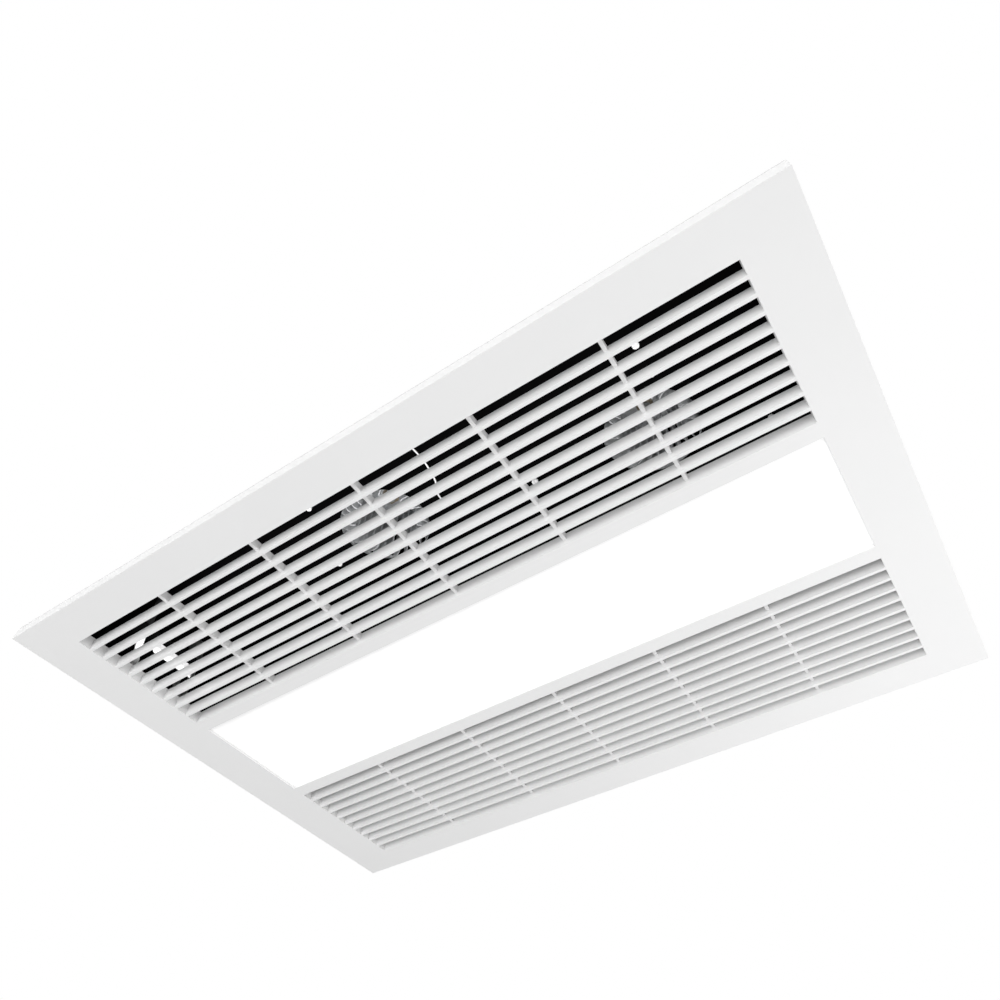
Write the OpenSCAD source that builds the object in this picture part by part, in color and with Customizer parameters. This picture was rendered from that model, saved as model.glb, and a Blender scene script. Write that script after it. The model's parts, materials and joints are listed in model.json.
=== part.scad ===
// Ceiling bathroom heater and exhaust fan with a light panel between two grilles.
// The origin is the centre of the ceiling screw pattern, on the ceiling plane.
// +Z points up into the ceiling, +X along the long side, towards the duct.

/* [Fascia] */
// Length of the fascia along X
fascia_w = 570; // [540:1:620]
// Width of the fascia along Y
fascia_d = 400; // [380:1:440]
// Plate between a grille and the fascia's end
end_margin = 36.4; // [35:0.1:39]
// Plate between a grille and the fascia's long edge
side_margin = 28; // [26:0.5:32]
// Plate between a grille and the light window
bar_w = 11.9; // [10:0.1:13]
// How far the fascia reaches past the housing's ends
cover_x = 23; // [21:0.5:24]
// How far the fascia reaches past the housing's long sides
cover_y = 20; // [18:0.5:22]
// Depth of the fascia below the ceiling
rim_h = 10; // [9:0.5:14]
// Thickness of the rim wall
rim_t = 2; // [1.5:0.1:2.2]
// Thickness of the front plate
plate_t = 2; // [1.6:0.1:2.4]
// Thickness of the foam seal on the rim
seal_t = 1; // [0.5:0.1:1.5]

/* [Grilles] */
// Slats in each grille
slat_n = 9; // [7:1:12]
// Thickness of a slat
slat_t = 2.4; // [1.6:0.1:3]
// How far the slats' back edges lie below the ceiling plane
slat_back = 1.1; // [0:0.1:3]
// Extra width of the first and the last slot of a grille
end_slot_more = 0.5; // [0:0.1:1]
// Cross ribs in each grille
rib_n = 5; // [3:2:5]
// Distance between cross ribs
rib_pitch = 85; // [70:1:88]
// Thickness of a cross rib
rib_t = 2.4; // [2:0.1:4]
// How far the ribs lie behind the slats' front edges
rib_recess = 4; // [2:0.5:6]
// Wall round each grille opening
frame_t = 2.2; // [1.6:0.1:2.4]
// Stiffeners along each long margin
stiffener_n = 4; // [2:1:6]

/* [Light panel] */
// Width of the light window
light_d = 98.2; // [88:0.2:108]
// How far the diffuser reaches past its window, on each side
overlap = 3.5; // [3:0.1:4]
// Thickness of the diffuser and its walls
diffuser_t = 2; // [1.5:0.1:2.5]
// Height of the diffuser's side walls
diffuser_h = 9.6; // [8:0.2:10.5]
// Height of the light tray above the ceiling plane
tray_z = 12; // [10:0.5:16]
// Width of an LED board
board_w = 14; // [10:1:20]
// Distance of a board from the middle
board_y = 26; // [20:1:30]
// LEDs on each board
led_n = 24; // [12:1:28]

/* [Housing] */
// Room between the motors and the top of the housing
head_room = 18.4; // [6:0.2:40]
// Thickness of the sheet steel
sheet_t = 1; // [0.8:0.1:1.2]
// Width of the ceiling flange
lip_w = 13; // [12:0.5:13.5]
// Height of the blower deck above the ceiling plane
deck_z = 70; // [68:1:72]
// Width of the folded edges inside the housing
fold_w = 12; // [10:0.5:14]
// Width of the beads pressed into the housing
bead_w = 14; // [8:0.5:20]
// Height of the beads
bead_h = 1.5; // [1:0.1:2]

/* [Ceiling screws] */
// Distance of a ceiling screw hole from the housing's end
mount_inset = 22; // [15:1:40]
// Distance of a ceiling screw hole from the housing's long side
mount_out = 7.5; // [6:0.5:8]
// Radius of a ceiling screw hole
mount_r = 2.75; // [2.25:0.25:3]

/* [Blowers] */
// Heater blower centre along X
heater_x = -50; // [-60:1:-45]
// Heater blower centre along Y
heater_y = -90; // [-94:1:-85]
// Exhaust blower centre along X
exhaust_x = 157; // [150:1:162]
// Exhaust blower centre along Y
exhaust_y = -54; // [-58:1:-50]
// Radius of each air inlet in the deck
inlet_r = 34; // [30:0.5:36]
// Outer radius of an impeller
wheel_r = 36.5; // [34:0.5:37]
// Inner radius of the impeller blades
eye_r = 23.5; // [20:0.5:26]
// Height of an impeller
wheel_h = 50; // [40:1:52]
// Blades on an impeller
blade_n = 28; // [20:2:32]
// Thickness of a blade
blade_t = 0.8; // [0.6:0.1:1]
// Gap between an impeller and its scroll at the tongue
tongue_gap = 4.5; // [2:0.5:6]
// How much the scroll's radius grows from the tongue to the outlet
scroll_growth = 20; // [15:0.5:21]
// Room above and below an impeller in its scroll
wheel_room = 10; // [7:0.5:14]
// Thickness of the scroll walls
scroll_t = 1.6; // [1.2:0.1:1.8]

/* [Motors] */
// Radius of a motor shaft
shaft_r = 4; // [3:0.5:4]
// Outer radius of a motor
motor_r = 28; // [26:0.5:30]
// Wall of the motor shell
motor_t = 1.2; // [1:0.1:1.4]
// Radius of the rotor
rotor_r = 19; // [17:0.5:20]
// Height of the rotor and stator
rotor_h = 20; // [18:1:22]
// Outer radius of a bush
bush_r = 7; // [6:0.5:8]
// Height of a bush
bush_h = 6; // [5:0.5:7]

/* [Heater] */
// Length of the heating element
ptc_w = 360; // [300:5:380]
// Rows of fins in the element
fin_rows = 5; // [3:1:5]
// Width of one row of fins
fin_d = 12; // [10:0.5:12]
// Depth of the fins
fin_h = 26; // [20:1:28]
// Folds in one row of fins
fin_folds = 60; // [40:2:70]
// Thickness of the heating bars
bar_d = 5.5; // [4:0.5:5.5]
// Depth of the heating bars
bar_h = 30; // [28:0.5:32]
// Wall of the element's frame
ptc_frame_t = 6; // [5:0.5:7]

/* [Duct] */
// Outer radius of the duct spigot
spigot_r = 49; // [48.5:0.1:50]
// Wall of the spigot
spigot_t = 1.8; // [1.4:0.1:2.2]
// Length of the spigot
spigot_l = 60; // [55:1:75]
// Margin of the spigot's square base round the tube
base_margin = 7; // [6.5:0.5:9]
// Free width between the flap and the tube's outside
flap_gap = 9; // [8.5:0.5:10]
// Width of the seat that the flap closes on
seat_w = 3; // [2:0.5:4]
// Radius of the hinge pin
pin_r = 1.5; // [1:0.1:1.6]

/* [Fascia hangers] */
// Distance the fascia pulls down
drop = 45; // [30:1:45]
// Distance of the hangers from the middle, along Y
hanger_y = 80; // [76:1:84]
// Width of a hanger strap
strap_w = 14; // [12:0.5:16]
// Thickness of a hanger strap
strap_t = 1.5; // [1.2:0.1:1.8]
// Height of the hanger screws above the ceiling plane
hanger_z = 12; // [10:0.5:14]
// Radius of a hanger screw's shank
hanger_r = 2.4; // [2:0.1:2.6]

/* [Electrics] */
// Radius of the cable hole through the gland
gland_r = 5; // [4:0.5:6]
// Length of the terminal box along Y
box_l = 96; // [84:1:110]
// Depth of the terminal box along X
box_d = 44; // [38:1:50]
// Height of the terminal box
box_h = 66; // [60:1:72]
// Distance of the terminal box's middle from the middle, along Y
box_y = -10; // [-16:1:-4]
// Terminals in the block
pole_n = 5; // [3:1:5]
// Distance between terminals
pole_pitch = 11; // [9:0.5:11]

/* [Clearances] */
// Radial clearance of a turning shaft or pin
run = 0.04; // [0.02:0.01:0.08]
// Radial clearance of a screw in its hole
loose = 0.2; // [0.1:0.05:0.4]
// Gap between the fascia and what stays on the ceiling
part_gap = 0.4; // [0.3:0.05:0.5]

/* [Hidden] */
$fn = 48;
front_z = -rim_h;
plate_z = front_z + plate_t;
grille_w = fascia_w - 2 * end_margin;
grille_d = (fascia_d - light_d) / 2 - side_margin - bar_w;
grille_y = (fascia_d - grille_d) / 2 - side_margin;
slat_pitch = (grille_d + slat_t - 2 * end_slot_more) / (slat_n + 1);
light_w = grille_w;
diffuser_w = light_w + 2 * overlap;
diffuser_d = light_d + 2 * overlap;
half_w = fascia_w / 2 - cover_x;
half_d = fascia_d / 2 - cover_y;
body_w = 2 * half_w;
body_d = 2 * half_d;
outer_d = half_d + sheet_t;
mount_x = body_w - 2 * mount_inset;
mount_y = body_d + 2 * mount_out;
frame_x = grille_w / 2 + frame_t;
diffuser_z = plate_z + part_gap;
tray_d = diffuser_d + 2 * part_gap + 2 * sheet_t;
tray_w = diffuser_w + 2 * part_gap + 2;
arm_d = 60;
arm_screw_y = 12;
divider_y = tray_d / 2 + 4;
board_l = light_w - 17.2;
board_t = 1.6;
led_side = 3;
led_t = 0.8;
led_step = (board_l - 10) / led_n;
deck_top = deck_z + sheet_t;
scroll_r0 = wheel_r + tongue_gap;
scroll_r1 = scroll_r0 + scroll_growth;
scroll_h = wheel_h + wheel_room;
scroll_top = deck_top + scroll_h;
motor_z = scroll_top + scroll_t;
motor_h = rotor_h + 2 * bush_h + 6;
stator_z = motor_z + (motor_h - rotor_h) / 2;
motor_top = motor_z + motor_h;
top_z = motor_top + head_room;
lid_z = motor_top - 3;
motor_ears = [30, 150, 270];
ear_reach = motor_r + 5;
ear_r = 5;
wheel_z = deck_top + 0.3 * wheel_room;
wheel_top = wheel_z + wheel_h;
hub_r = 9;
hub_h = 14;
back_t = 1.2;
ring_t = 1.2;
ring_w = 2;
rim_r = wheel_r + 0.6;
scroll_rim_w = 7;
tongue_a = 60;
duct_in = scroll_r0 * cos(tongue_a);
duct_mid = (duct_in + scroll_r1) / 2;
duct_w = scroll_r1 - duct_in;
spigot_y = exhaust_y - duct_mid;
spigot_z = deck_top + scroll_h / 2;
spigot_x = half_w + sheet_t;
spigot_base = 2 * (spigot_r + base_margin);
flap_r = spigot_r - flap_gap;
seat_r = flap_r - seat_w;
hinge_up = flap_r - 10;
seat_x = spigot_x + 3.4;
seat_t = 2.4;
flap_x = seat_x + seat_t + 0.2;
flap_t = 1.2;
barrel_r = 2.8;
hinge_x = flap_x + barrel_r + 0.2;
hinge_z = spigot_z + hinge_up;
barrel_l = spigot_r + 5;
ear_gap = 0.5;
ear_l = 6.5;
ear_h = 3.5;
ptc_d = fin_rows * fin_d + (fin_rows - 1) * bar_d;
ptc_y = (divider_y + half_d) / 2;
ptc_top = deck_z;
ptc_lip = 1.5;
ptc_bottom = ptc_top - bar_h - 2;
tab_r = 1.6;
strap_x = half_w - 3.8;
foot_x = frame_x + 0.2;
strap_top = hanger_z + drop + 9;
washer_r = 4.5;
screw_r = 1.9;
head_r = 3.6;
head_h = 2;
pin_reach = diffuser_w / 2 - 52;
pin_places = [-pin_reach, 0, pin_reach];
fold_y = 120;
fold_end = half_w - fold_w - 2;
deck_fix_y = half_d - 14;
deck_fold_y = deck_fix_y + 5;
side_screw_z = [40, 120, top_z - 19];
box_x = -half_w;
box_z = deck_top + 6;
box_t = 2;
gland_z = box_z + box_h / 2;
gland_y = box_y - 26;
gland_out = gland_r + 3;
hex_t = 5;
bracket_z = 20;
bracket_d = 34;
bracket_l = 56;
bracket_y = -144;
bracket_h = 16;
plug_x = -half_w + 22.5;
plug_y = -106;
plug_w = 6.6;
plug_l = 42;
plug_h = 5;
lead_r = 2.6;
lead_from = [-half_w, -124.3, 10.8];
lead_stub = 1;
lead_turn = 34;
lead_turn_r = 12;
lead_run = 6.6;
lead_rise_r = 10.6;
lead_way = [cos(lead_turn), -sin(lead_turn), 0];
lead_bent = lead_arc(lead_turn);
lead_top = lead_rise(90) + [0, 0, lead_stub];
lead_end = [lead_top[0], lead_top[1]];
lead_route = concat(
    [lead_from], [for (i = [0:4]) lead_arc(lead_turn * i / 4)],
    [for (a = [0:9:90]) lead_rise(a)], [lead_top]
);

// The lead first turns along the wall, then rises into its sleeve
function lead_arc(a) = lead_from
    + [lead_stub + lead_turn_r * sin(a), lead_turn_r * (cos(a) - 1), 0];
function lead_rise(a) = lead_bent + lead_way * (lead_run + lead_rise_r * sin(a))
    + [0, 0, lead_rise_r * (1 - cos(a))];

wire_r = 0.6;
wire_drop = 0.1;
wire_points = [
    [10, -138.8], [10.2, -135.4], [10.5, -131.9], [10.6, -128.4], [10.5, -125], [10.4, -121.5],
    [10.1, -118.1], [9.6, -114.6], [9, -111.1], [8.2, -107.5], [7.2, -103.9], [5.8, -100.5],
    [4, -97.4], [2.2, -94.5], [1.2, -91.5], [1, -88.2]
];
wire_route = [for (p = wire_points) [p[0], p[1], deck_z - wire_r - wire_drop]];
clip_places = [[10, -142], [1, -85]];
blower_feet = [25, 100, 170, 232];
deck_dots = [
    [177, -119], [67, -63], [-140, -150], [-150, -20], [60, -150], [half_w - 32, -20]
];
driver_x = -145;
driver_l = 90;
driver_w = 44;
driver_h = 24;
cap_x = 92 - half_w;
cap_y = -120;
cap_r = 17;
cap_h = 52;

// Shared shapes

module slab(size, from) {
    translate([-size[0] / 2, -size[1] / 2, from]) cube(size);
}

module mirror_x() {
    children();
    mirror([1, 0, 0]) children();
}

module mirror_y() {
    children();
    mirror([0, 1, 0]) children();
}

module rod(r, from, to) {
    translate([0, 0, from]) cylinder(r = r, h = to - from);
}

module tube(r_out, r_in, from, to) {
    difference() {
        rod(r_out, from, to);
        rod(r_in, from - 1, to + 1);
    }
}

// A pan-head screw whose head rests on z = 0 and whose shank points down
module screw(r, length, top_r = head_r, top_h = head_h) {
    rod(r, -length, 0);
    difference() {
        rod(top_r, 0, top_h);
        slab([0.8, 2.4 * r, top_h], top_h / 2);
        slab([2.4 * r, 0.8, top_h], top_h / 2);
    }
}

function unit(v) = v / norm(v);
function heading(p, i) = unit(p[min(i + 1, len(p) - 1)] - p[max(i - 1, 0)]);
function side_of(t) = unit(cross(abs(t[2]) > 0.9 ? [1, 0, 0] : [0, 0, 1], t));

// One round lead along a route
module lead(route, r, sides = 8) {
    rings = [for (i = [0:len(route) - 1])
        let (t = heading(route, i), u = side_of(t), v = cross(t, u))
        for (k = [0:sides - 1])
            route[i] + r * (cos(360 * k / sides) * u + sin(360 * k / sides) * v)];
    walls = [for (i = [0:len(route) - 2], k = [0:sides - 1])
        let (a = i * sides, n = (k + 1) % sides)
        each [[a + k, a + sides + n, a + n], [a + k, a + sides + k, a + sides + n]]];
    last = (len(route) - 1) * sides;
    caps = [[for (k = [0:sides - 1]) k], [for (k = [sides - 1:-1:0]) last + k]];
    polyhedron(rings, concat(walls, caps));
}

// Fascia

slat_places = [for (i = [0:slat_n - 1]) (i - (slat_n - 1) / 2) * slat_pitch];
rib_places = [for (i = [0:rib_n - 1]) (i - (rib_n - 1) / 2) * rib_pitch];
boss_x = (foot_x + strap_x) / 2;
boss_r = 3.4;
boss_top = -strap_t;

module grille() {
    difference() {
        slab([grille_w + 2 * frame_t, grille_d + 2 * frame_t, rim_h], front_z);
        slab([grille_w, grille_d, rim_h + 2], front_z - 1);
    }
    for (y = slat_places)
        translate([0, y, 0])
            slab([grille_w + frame_t, slat_t, rim_h - slat_back], front_z);
    for (x = rib_places)
        translate([x, 0, 0])
            slab([rib_t, grille_d + frame_t, rim_h - rib_recess], front_z + rib_recess);
}

module fascia_plate() {
    difference() {
        slab([fascia_w, fascia_d, rim_h - seal_t], front_z);
        slab([fascia_w - 2 * rim_t, fascia_d - 2 * rim_t, rim_h], plate_z);
        slab([light_w, light_d, rim_h], front_z - 1);
        for (s = [-1, 1])
            translate([0, s * grille_y, 0]) slab([grille_w, grille_d, rim_h], front_z - 1);
    }
}

module fascia_stiffeners() {
    frame_edge = grille_y + grille_d / 2 + frame_t;
    reach = fascia_d / 2 - rim_t - frame_edge;
    step = grille_w / (stiffener_n + 1);
    mirror_y()
        for (i = [1:stiffener_n])
            translate([i * step - grille_w / 2, frame_edge + reach / 2, 0])
                slab([1.6, reach + 1, 4], plate_z - 0.5);
}

module fascia() {
    color("white") difference() {
        union() {
            fascia_plate();
            for (s = [-1, 1])
                translate([0, s * grille_y, 0]) grille();
            fascia_stiffeners();
            mirror_x() mirror_y() translate([boss_x, hanger_y, 0])
                rod(boss_r, plate_z - 0.5, boss_top);
        }
        mirror_x() mirror_y() translate([boss_x, hanger_y, 0])
            rod(tab_r - 0.3, plate_z + 0.5, 1);
    }
}

module fascia_seal() {
    color("gainsboro") difference() {
        slab([fascia_w - 0.6, fascia_d - 0.6, seal_t], -seal_t);
        slab([fascia_w - 2 * rim_t, fascia_d - 2 * rim_t, seal_t + 2], -seal_t - 1);
    }
}

// Hangers: the straps move with the fascia, the shoulder screws stay on the housing

module hanger_strap() {
    slot_r = hanger_r + loose;
    color("silver") difference() {
        union() {
            translate([strap_x, hanger_y - strap_w / 2, -strap_t])
                cube([strap_t, strap_w, strap_top + strap_t]);
            translate([foot_x, hanger_y - strap_w / 2, -strap_t])
                cube([strap_x + strap_t - foot_x, strap_w, strap_t]);
        }
        translate([boss_x, hanger_y, 0]) rod(tab_r + loose, -strap_t - 1, 1);
        for (z = [hanger_z, hanger_z + drop])
            translate([0, hanger_y, z]) rotate([0, 90, 0])
                rod(slot_r, strap_x - 1, strap_x + strap_t + 1);
        translate([strap_x - 1, hanger_y - slot_r, hanger_z])
            cube([strap_t + 2, 2 * slot_r, drop]);
    }
}

module hanger_strap_right_far() { hanger_strap(); }
module hanger_strap_right_near() { mirror([0, 1, 0]) hanger_strap(); }
module hanger_strap_left_far() { mirror([1, 0, 0]) hanger_strap(); }
module hanger_strap_left_near() { mirror([1, 0, 0]) mirror([0, 1, 0]) hanger_strap(); }

module strap_screws() {
    color("silver") mirror_x() mirror_y() translate([boss_x, hanger_y, 0])
        screw(tab_r - 0.3, 6, 2.8, 1.8);
}

module hanger_screws() {
    color("silver") mirror_x() mirror_y() translate([0, hanger_y, hanger_z])
        rotate([0, 90, 0]) {
            rod(hanger_r, strap_x, spigot_x + 4);
            rod(2 * hanger_r, strap_x - 3, strap_x - part_gap);
            rod(hanger_r, strap_x - part_gap - 0.1, strap_x);
            rod(hanger_r + 2, spigot_x, spigot_x + 3, $fn = 6);
        }
}

module friction_washers() {
    color("gray") mirror_x() mirror_y() translate([0, hanger_y, hanger_z])
        rotate([0, 90, 0]) tube(washer_r, hanger_r + loose, strap_x + strap_t + 0.3, half_w);
}

// Housing

module lip_holes(r) {
    mirror_x() mirror_y() translate([mount_x / 2, mount_y / 2, 0]) rod(r, -sheet_t - 1, 1);
}

module top_holes(r) {
    for (x = [-1, 1], y = [-fold_y, 0, fold_y])
        translate([x * (half_w - fold_w / 2), y, 0]) rod(r, top_z - 5, top_z + 5);
}

module side_holes(r) {
    for (x = [-1, 1], y = [-1, 1], z = side_screw_z)
        translate([x * (half_w - fold_w / 2), y * half_d, z]) rotate([90, 0, 0]) rod(r, -5, 5);
}

// A pressed bead that stands up from z = 0, or its hollow where thin is the sheet's thickness
module bead(length, thin) {
    reach = (length - bead_w) / 2;
    width = bead_w - 2 * thin;
    from = thin > 0 ? -3 * thin : -sheet_t / 2;
    slab([2 * reach, width, bead_h - from], from);
    for (x = [-reach, reach])
        translate([x, 0, 0]) rod(width / 2, from, bead_h);
}

module top_beads(thin) {
    mirror_y() translate([0, half_d / 2, top_z + sheet_t - thin])
        bead(body_w - 120, thin);
}

module side_bead(thin) {
    translate([0, outer_d - thin, deck_z + 10]) rotate([-90, 0, 0]) bead(body_w - 120, thin);
}

module housing_shell() {
    color("dimgray") difference() {
        union() {
            slab([body_w, 2 * outer_d, sheet_t], top_z);
            mirror_y() {
                translate([-half_w, half_d, -sheet_t])
                    cube([body_w, sheet_t, top_z + 1.5 * sheet_t]);
                translate([-half_w, half_d, -sheet_t]) cube([body_w, lip_w, sheet_t]);
                side_bead(0);
            }
            top_beads(0);
        }
        mirror_y() side_bead(sheet_t);
        top_beads(sheet_t);
        lip_holes(mount_r);
        top_holes(screw_r + loose);
        side_holes(screw_r + loose);
    }
}

module panel_holes() {
    for (y = [-1, 1]) {
        translate([half_w, y * hanger_y, hanger_z]) rotate([0, 90, 0])
            rod(hanger_r + loose, -2, 5);
        translate([half_w, y * arm_screw_y, tray_z + fold_w / 2]) rotate([0, 90, 0])
            rod(screw_r + loose, -2, 5);
        translate([half_w, y * deck_fix_y, deck_z - fold_w / 2]) rotate([0, 90, 0])
            rod(screw_r + loose, -2, 5);
    }
}

module end_panel() {
    difference() {
        union() {
            translate([half_w, -outer_d, -sheet_t])
                cube([sheet_t, 2 * outer_d, top_z + 2 * sheet_t]);
            translate([half_w, -outer_d, -sheet_t]) cube([lip_w, 2 * outer_d, sheet_t]);
            translate([half_w - fold_w, -half_d + 12, top_z - sheet_t])
                cube([fold_w + sheet_t / 2, body_d - 24, sheet_t]);
            mirror_y() translate([half_w - fold_w, half_d - sheet_t, 30])
                cube([fold_w + sheet_t / 2, sheet_t, top_z - 36]);
        }
        panel_holes();
        top_holes(screw_r);
        side_holes(screw_r);
    }
}

module spigot_screw_holes(r, from, to) {
    reach = spigot_base / 2 - 6;
    for (y = [-1, 1], z = [-1, 1])
        translate([spigot_x, spigot_y + y * reach, spigot_z + z * reach])
            rotate([0, 90, 0]) rod(r, from, to);
}

module end_panel_right() {
    color("dimgray") difference() {
        end_panel();
        translate([half_w, spigot_y, spigot_z]) rotate([0, 90, 0])
            rod(spigot_r - spigot_t, -2, 5);
        spigot_screw_holes(screw_r, -3, 3);
    }
}

module end_panel_left() {
    color("dimgray") difference() {
        mirror([1, 0, 0]) end_panel();
        translate([-half_w, gland_y, gland_z]) rotate([0, -90, 0])
            rod(gland_out + loose, -2, 5);
        bracket_screw_place() rod(screw_r + loose, -2, 5);
    }
}

module housing_screws() {
    color("silver") {
        for (x = [-1, 1], y = [-fold_y, 0, fold_y])
            translate([x * (half_w - fold_w / 2), y, top_z + sheet_t]) screw(screw_r, 8);
        for (x = [-1, 1], y = [-1, 1], z = side_screw_z)
            translate([x * (half_w - fold_w / 2), y * outer_d, z])
                rotate([-90 * y, 0, 0]) screw(screw_r, 8);
        for (x = [-1, 1], y = [-1, 1])
            translate([x * spigot_x, y * deck_fix_y, deck_z - fold_w / 2])
                rotate([0, 90 * x, 0]) screw(screw_r, 8);
        for (x = [-1, 1], y = [-1, 1])
            translate([x * spigot_x, y * arm_screw_y, tray_z + fold_w / 2])
                rotate([0, 90 * x, 0]) screw(screw_r, 8);
        translate([spigot_x, 0, 0]) spigot_screws();
        bracket_screw_place() translate([0, 0, sheet_t]) screw(screw_r, 6);
    }
}

module spigot_screws() {
    reach = spigot_base / 2 - 6;
    for (y = [-1, 1], z = [-1, 1])
        translate([2, spigot_y + y * reach, spigot_z + z * reach])
            rotate([0, 90, 0]) screw(screw_r, 7, 3.2);
}

// Blower deck and the two walls that keep the air chambers apart

module at_heater() {
    translate([heater_x, heater_y, 0]) children();
}

module at_exhaust() {
    translate([exhaust_x, exhaust_y, 0]) rotate(-90) children();
}

module at_feet() {
    for (a = blower_feet)
        rotate(a) translate([scroll_foot(a), 0, 0]) children();
}

function scroll_r(a) = scroll_r0 + (scroll_r1 - scroll_r0) * max(0, a - tongue_a) / (360 - tongue_a);
function scroll_foot(a) = scroll_r(a) + scroll_t + scroll_rim_w / 2;

ptc_corners = [for (x = [-1, 1], y = [-1, 1])
    [x * (ptc_w + ptc_frame_t) / 2, ptc_y + y * (ptc_d + ptc_frame_t) / 2]];

module blower_deck() {
    color("#181818") difference() {
        union() {
            slab([body_w - 1, body_d - 2 * sheet_t - 1, sheet_t], deck_z);
            mirror_x() translate([half_w - sheet_t, -deck_fold_y, deck_z - fold_w])
                cube([sheet_t, 2 * deck_fold_y, fold_w + sheet_t / 2]);
        }
        at_heater() rod(inlet_r, deck_z - 1, deck_top + 1);
        at_exhaust() rod(inlet_r, deck_z - 1, deck_top + 1);
        at_heater() at_feet() rod(screw_r, deck_z - 1, deck_top + 1);
        at_exhaust() at_feet() rod(screw_r, deck_z - 1, deck_top + 1);
        translate([0, ptc_y, 0])
            slab([ptc_w - 2 * ptc_lip, ptc_d - 2 * ptc_lip, 4], deck_z - 1);
        for (p = ptc_corners)
            translate(p) rod(screw_r + loose, deck_z - 1, deck_top + 1);
        for (s = [-1, 1], y = [-1, 1])
            translate([s * half_w, y * deck_fix_y, deck_z - fold_w / 2]) rotate([0, 90, 0])
                rod(screw_r, -5, 5);
        translate([lead_end[0], lead_end[1], 0]) rod(lead_r + loose, deck_z - 1, deck_top + 1);
        for (p = deck_dots)
            translate(p) rod(screw_r, deck_z - 1, deck_top + 1);
    }
}

window_x = heater_x + duct_mid;
notch_w = duct_w + 2 * scroll_t + 1;

module upper_partition() {
    color("dimgray") difference() {
        union() {
            translate([-half_w + 1, divider_y - sheet_t, deck_top])
                cube([body_w - 2, sheet_t, top_z - sheet_t - deck_top]);
            translate([-fold_end, divider_y - fold_w, deck_top])
                cube([2 * fold_end, fold_w - sheet_t / 2, sheet_t]);
        }
        translate([window_x - duct_w / 2, divider_y - 5, deck_top + 0.5])
            cube([duct_w, 10, scroll_h - 0.5]);
        translate([window_x - notch_w / 2, divider_y - fold_w - 1, deck_top - 1])
            cube([notch_w, fold_w + 1 - sheet_t, 5]);
    }
}

module lower_divider() {
    color("#181818") union() {
        translate([-fold_end, divider_y - sheet_t, 0.6])
            cube([2 * fold_end, sheet_t, deck_z - 0.6]);
        translate([-fold_end, divider_y - fold_w, deck_z - sheet_t])
            cube([2 * fold_end, fold_w - sheet_t / 2, sheet_t]);
    }
}

module deck_screws() {
    color("silver") {
        at_heater() at_feet() foot_screw();
        at_exhaust() at_feet() foot_screw();
        for (p = ptc_corners)
            translate([p[0], p[1], deck_top]) screw(screw_r, 10);
        for (p = deck_dots)
            translate([p[0], p[1], deck_z]) mirror([0, 0, 1]) screw(screw_r, 5, 2.4, 1.6);
    }
}

module foot_screw() {
    translate([0, 0, deck_top + scroll_t]) screw(screw_r, 6, 3);
}

// Light panel

module light_tray() {
    mid_t = tray_z - sheet_t;
    wall_low = diffuser_z + diffuser_t + 1.2;
    color("gainsboro") difference() {
        union() {
            slab([body_w - 2 * sheet_t, arm_d, sheet_t], mid_t);
            slab([tray_w, tray_d, sheet_t], mid_t);
            mirror_y() translate([-tray_w / 2, tray_d / 2 - sheet_t, wall_low])
                cube([tray_w, sheet_t, tray_z - wall_low]);
            mirror_x() translate([half_w - sheet_t, -arm_d / 2, mid_t])
                cube([sheet_t, arm_d, fold_w + sheet_t]);
        }
        for (x = pin_places)
            translate([x, 0, pin_z]) rotate([90, 0, 0]) rod(tab_r + loose, -tray_d, tray_d);
        for (y = [-1, 1])
            translate([0, y * arm_screw_y, tray_z + fold_w / 2]) rotate([0, 90, 0])
                rod(screw_r, -half_w - 1, half_w + 1);
    }
}

pin_z = diffuser_z + 6;
board_z = tray_z - sheet_t - board_t;

module led_boards() {
    color("white") mirror_y() translate([0, board_y, 0]) slab([board_l, board_w, board_t], board_z);
}

module led_chips() {
    color("gold") mirror_y()
        for (i = [0:led_n - 1])
            translate([(i - (led_n - 1) / 2) * led_step, board_y, 0])
                slab([led_side, led_side, led_t], board_z - led_t);
}

module diffuser() {
    inside = [diffuser_w - 2 * diffuser_t, diffuser_d - 2 * diffuser_t, diffuser_h];
    color("white") difference() {
        slab([diffuser_w, diffuser_d, diffuser_h], diffuser_z);
        slab(inside, diffuser_z + diffuser_t);
        for (x = pin_places)
            translate([x, 0, pin_z]) rotate([90, 0, 0]) rod(tab_r, -diffuser_d, diffuser_d);
    }
}

module diffuser_pins() {
    color("silver") for (s = [-1, 1], x = pin_places)
        translate([x, s * tray_d / 2, pin_z]) rotate([-90 * s, 0, 0])
            screw(tab_r, sheet_t + part_gap + 1.8, 2.6, 1.2);
}

module led_driver() {
    color("#202020") translate([driver_x, 0, 0]) difference() {
        union() {
            slab([driver_l, driver_w, driver_h], tray_z);
            slab([driver_l + 16, 18, 2], tray_z);
        }
        translate([0, 0, tray_z + driver_h - 3]) difference() {
            slab([driver_l + 2, driver_w + 2, 0.6], 0);
            slab([driver_l - 1, driver_w - 1, 2], -0.5);
        }
    }
}

// Blowers

arc_step = 10;
scroll_arc = [for (a = [tongue_a:arc_step:360]) a];

function spiral(extra) = [for (a = scroll_arc) (scroll_r(a) + extra) * [cos(a), sin(a)]];

// Outline of the air space of a scroll whose outlet runs along +Y
module scroll_space(extra, outlet) {
    polygon(concat(
        spiral(extra),
        [[scroll_r1 + extra, outlet], [duct_in - extra, outlet]]
    ));
    circle(r = scroll_r0 + extra);
}

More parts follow.
